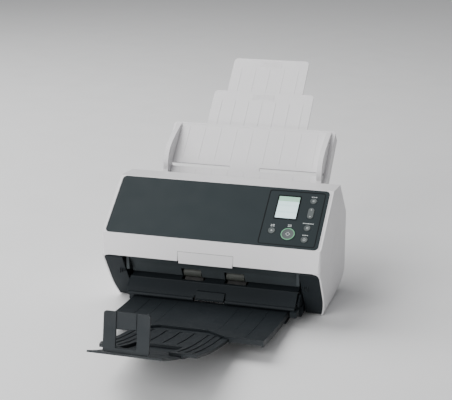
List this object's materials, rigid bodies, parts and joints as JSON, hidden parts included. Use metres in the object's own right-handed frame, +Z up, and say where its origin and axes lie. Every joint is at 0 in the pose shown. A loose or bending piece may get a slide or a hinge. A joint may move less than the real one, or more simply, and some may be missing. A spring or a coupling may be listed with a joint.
{
  "type": "sheet fed document scanner",
  "caption": "Desktop sheet fed document scanner with a sloping feed chute, a dark operator panel with display, and a pull-out stacker.",
  "frame": {"origin": "centre of the footprint box, on the table", "axes": "+X to the right seen from the front, +Y to the back, +Z up"},
  "size_m": [0.3, 0.6351, 0.2921],
  "materials": {
    "light_plastic": "fine grained light grey",
    "panel_plastic": "fine grained dark slate",
    "frame_plastic": "fine grained charcoal",
    "stacker_plastic": "fine grained charcoal",
    "button_plastic": "smooth mid grey",
    "screen_glass": "lit pale screen",
    "scan_glass": "polished dark glass",
    "rubber": "matte rubber",
    "roller_plastic": "olive grey",
    "steel": "ground",
    "board": "solder mask",
    "black_plastic": "moulded black"
  },
  "bodies": {
    "base": {"right_side_cover": "light_plastic", "left_side_cover": "light_plastic", "right_cheek": "frame_plastic", "left_cheek": "frame_plastic", "right_frame_plate": "frame_plastic", "left_frame_plate": "frame_plastic", "base_tray": "frame_plastic", "rear_cover": "light_plastic", "lower_guide": "frame_plastic", "exit_guide": "frame_plastic", "lower_scan_unit": "black_plastic", "lower_scan_glass": "scan_glass", "drive_belt": "rubber", "feed_motor": "steel", "main_board": "board", "dc_inlet": "black_plastic", "usb_port": "black_plastic", "lan_port": "black_plastic", "right_hinge_pin": "steel", "left_hinge_pin": "steel", "left_front_foot": "rubber", "left_rear_foot": "rubber", "right_front_foot": "rubber", "right_rear_foot": "rubber", "chute_plate": "light_plastic"},
    "feed_shaft_set": {"feed_shaft": "steel", "feed_rollers": "rubber", "feed_pulley": "black_plastic"},
    "eject_shaft_set": {"eject_shaft": "steel", "eject_rollers": "rubber", "eject_pulley": "black_plastic"},
    "motor_spindle": {"motor_shaft": "steel", "motor_pulley": "black_plastic"},
    "pick_roller_set": {"pick_roller": "rubber"},
    "feeder": {"feeder_shell": "light_plastic", "front_panel": "panel_plastic", "operator_panel": "panel_plastic", "display": "screen_glass", "feeder_frame": "frame_plastic", "upper_scan_unit": "black_plastic", "upper_scan_glass": "scan_glass"},
    "brake_roller_set": {"brake_roller": "rubber"},
    "feed_pinch_set": {"feed_pinch_rollers": "roller_plastic"},
    "eject_pinch_set": {"eject_pinch_rollers": "roller_plastic"},
    "release_lever": {"release_tab": "light_plastic"},
    "button_menu_key": {"button_menu": "button_plastic"},
    "button_clear_key": {"button_clear": "button_plastic"},
    "button_power_key": {"button_power": "button_plastic"},
    "button_scan_key": {"button_scan": "button_plastic"},
    "button_send_key": {"button_send": "button_plastic"},
    "rocker_key": {"rocker_button": "button_plastic"},
    "stacker": {"stacker_plate": "stacker_plastic"},
    "extension_1": {"stacker_extension_1": "stacker_plastic"},
    "extension_2": {"stacker_extension_2": "stacker_plastic"},
    "stopper": {"stacker_stopper": "stacker_plastic"},
    "right_guide": {"right_side_guide": "light_plastic"},
    "left_guide": {"left_side_guide": "light_plastic"},
    "pinion": {"guide_pinion": "black_plastic"},
    "chute_slide_1": {"chute_extension_1": "light_plastic"},
    "chute_slide_2": {"chute_extension_2": "light_plastic"}
  },
  "joints": [
    {"name": "feeder_open", "type": "hinge", "parent": "base", "child": "feeder", "pos_m": [0, 0.01021, 0.058], "axis": [1, 0, 0], "range_deg": [0, 60]},
    {"name": "release_tab_pull", "type": "hinge", "parent": "feeder", "child": "release_lever", "pos_m": [0, -0.01009, 0.0874], "axis": [-1, 0, 0], "range_deg": [0, 15], "stiffness_Nm_per_rad": 0.02},
    {"name": "stacker_slide", "type": "hinge", "parent": "base", "child": "stacker", "pos_m": [0, -0.01119, 0.778], "axis": [1, 0, 0], "range_deg": [0, 8.8]},
    {"name": "stacker_extension_1_slide", "type": "hinge", "parent": "stacker", "child": "extension_1", "pos_m": [0, -0.01119, 0.778], "axis": [1, 0, 0], "range_deg": [0, 8.5]},
    {"name": "stacker_extension_2_slide", "type": "hinge", "parent": "extension_1", "child": "extension_2", "pos_m": [0, -0.01119, 0.778], "axis": [1, 0, 0], "range_deg": [0, 4.6]},
    {"name": "stopper_fold", "type": "hinge", "parent": "extension_2", "child": "stopper", "pos_m": [0, -0.31071, 0.07407], "axis": [-1, 0, 0], "range_deg": [0, 101.3]},
    {"name": "left_guide_slide", "type": "slide", "parent": "base", "child": "left_guide", "axis": [1, 0, 0], "range_m": [0, 0.08]},
    {"name": "right_guide_slide", "type": "slide", "parent": "base", "child": "right_guide", "axis": [1, 0, 0], "range_m": [-0.08, 0]},
    {"name": "guide_pinion_turn", "type": "hinge", "parent": "base", "child": "pinion", "pos_m": [0, 0.16854, 0.15461], "axis": [0, -0.7071, 0.7071], "continuous": true},
    {"name": "chute_extension_1_slide", "type": "slide", "parent": "base", "child": "chute_slide_1", "axis": [0, -0.7071, -0.7071], "range_m": [0, 0.085]},
    {"name": "chute_extension_2_slide", "type": "slide", "parent": "chute_slide_1", "child": "chute_slide_2", "axis": [0, -0.7071, -0.7071], "range_m": [0, 0.055]},
    {"name": "button_menu_press", "type": "slide", "parent": "feeder", "child": "button_menu_key", "axis": [0, 0.6131, -0.79], "range_m": [0, 0.0007], "stiffness_N_per_m": 400},
    {"name": "button_clear_press", "type": "slide", "parent": "feeder", "child": "button_clear_key", "axis": [0, 0.6131, -0.79], "range_m": [0, 0.0007], "stiffness_N_per_m": 400},
    {"name": "button_power_press", "type": "slide", "parent": "feeder", "child": "button_power_key", "axis": [0, 0.6131, -0.79], "range_m": [0, 0.0007], "stiffness_N_per_m": 400},
    {"name": "button_scan_press", "type": "slide", "parent": "feeder", "child": "button_scan_key", "axis": [0, 0.6131, -0.79], "range_m": [0, 0.0007], "stiffness_N_per_m": 400},
    {"name": "button_send_press", "type": "slide", "parent": "feeder", "child": "button_send_key", "axis": [0, 0.6131, -0.79], "range_m": [0, 0.0007], "stiffness_N_per_m": 400},
    {"name": "rocker_tilt", "type": "hinge", "parent": "feeder", "child": "rocker_key", "pos_m": [0.1257, 0.03707, 0.14022], "axis": [1, 0, 0], "range_deg": [-3, 3], "stiffness_Nm_per_rad": 0.03},
    {"name": "feed_roller_turn", "type": "hinge", "parent": "base", "child": "feed_shaft_set", "pos_m": [0, 0.08201, 0.0678], "axis": [1, 0, 0], "continuous": true},
    {"name": "eject_roller_turn", "type": "hinge", "parent": "base", "child": "eject_shaft_set", "pos_m": [0, 0.02541, 0.034], "axis": [1, 0, 0], "continuous": true},
    {"name": "pick_roller_turn", "type": "hinge", "parent": "base", "child": "pick_roller_set", "pos_m": [0, 0.09942, 0.08239], "axis": [1, 0, 0], "continuous": true},
    {"name": "motor_turn", "type": "hinge", "parent": "base", "child": "motor_spindle", "pos_m": [0, 0.12021, 0.054], "axis": [1, 0, 0], "continuous": true},
    {"name": "brake_roller_turn", "type": "hinge", "parent": "feeder", "child": "brake_roller_set", "pos_m": [0, 0.08571, 0.09611], "axis": [1, 0, 0], "continuous": true},
    {"name": "feed_pinch_turn", "type": "hinge", "parent": "feeder", "child": "feed_pinch_set", "pos_m": [0, 0.07112, 0.07869], "axis": [1, 0, 0], "continuous": true},
    {"name": "eject_pinch_turn", "type": "hinge", "parent": "feeder", "child": "eject_pinch_set", "pos_m": [0, 0.02451, 0.0494], "axis": [1, 0, 0], "continuous": true}
  ],
  "couplings": [
    {"joint": "right_guide_slide", "follows": "left_guide_slide", "ratio": -1},
    {"joint": "guide_pinion_turn", "follows": "left_guide_slide", "rad_per_m": 111.11},
    {"joint": "eject_roller_turn", "follows": "feed_roller_turn", "ratio": 1},
    {"joint": "pick_roller_turn", "follows": "feed_roller_turn", "ratio": 0.8},
    {"joint": "motor_turn", "follows": "feed_roller_turn", "ratio": 1},
    {"joint": "brake_roller_turn", "follows": "feed_roller_turn", "ratio": -0.8889},
    {"joint": "feed_pinch_turn", "follows": "feed_roller_turn", "ratio": -1.1429},
    {"joint": "eject_pinch_turn", "follows": "feed_roller_turn", "ratio": -1.1429}
  ]
}
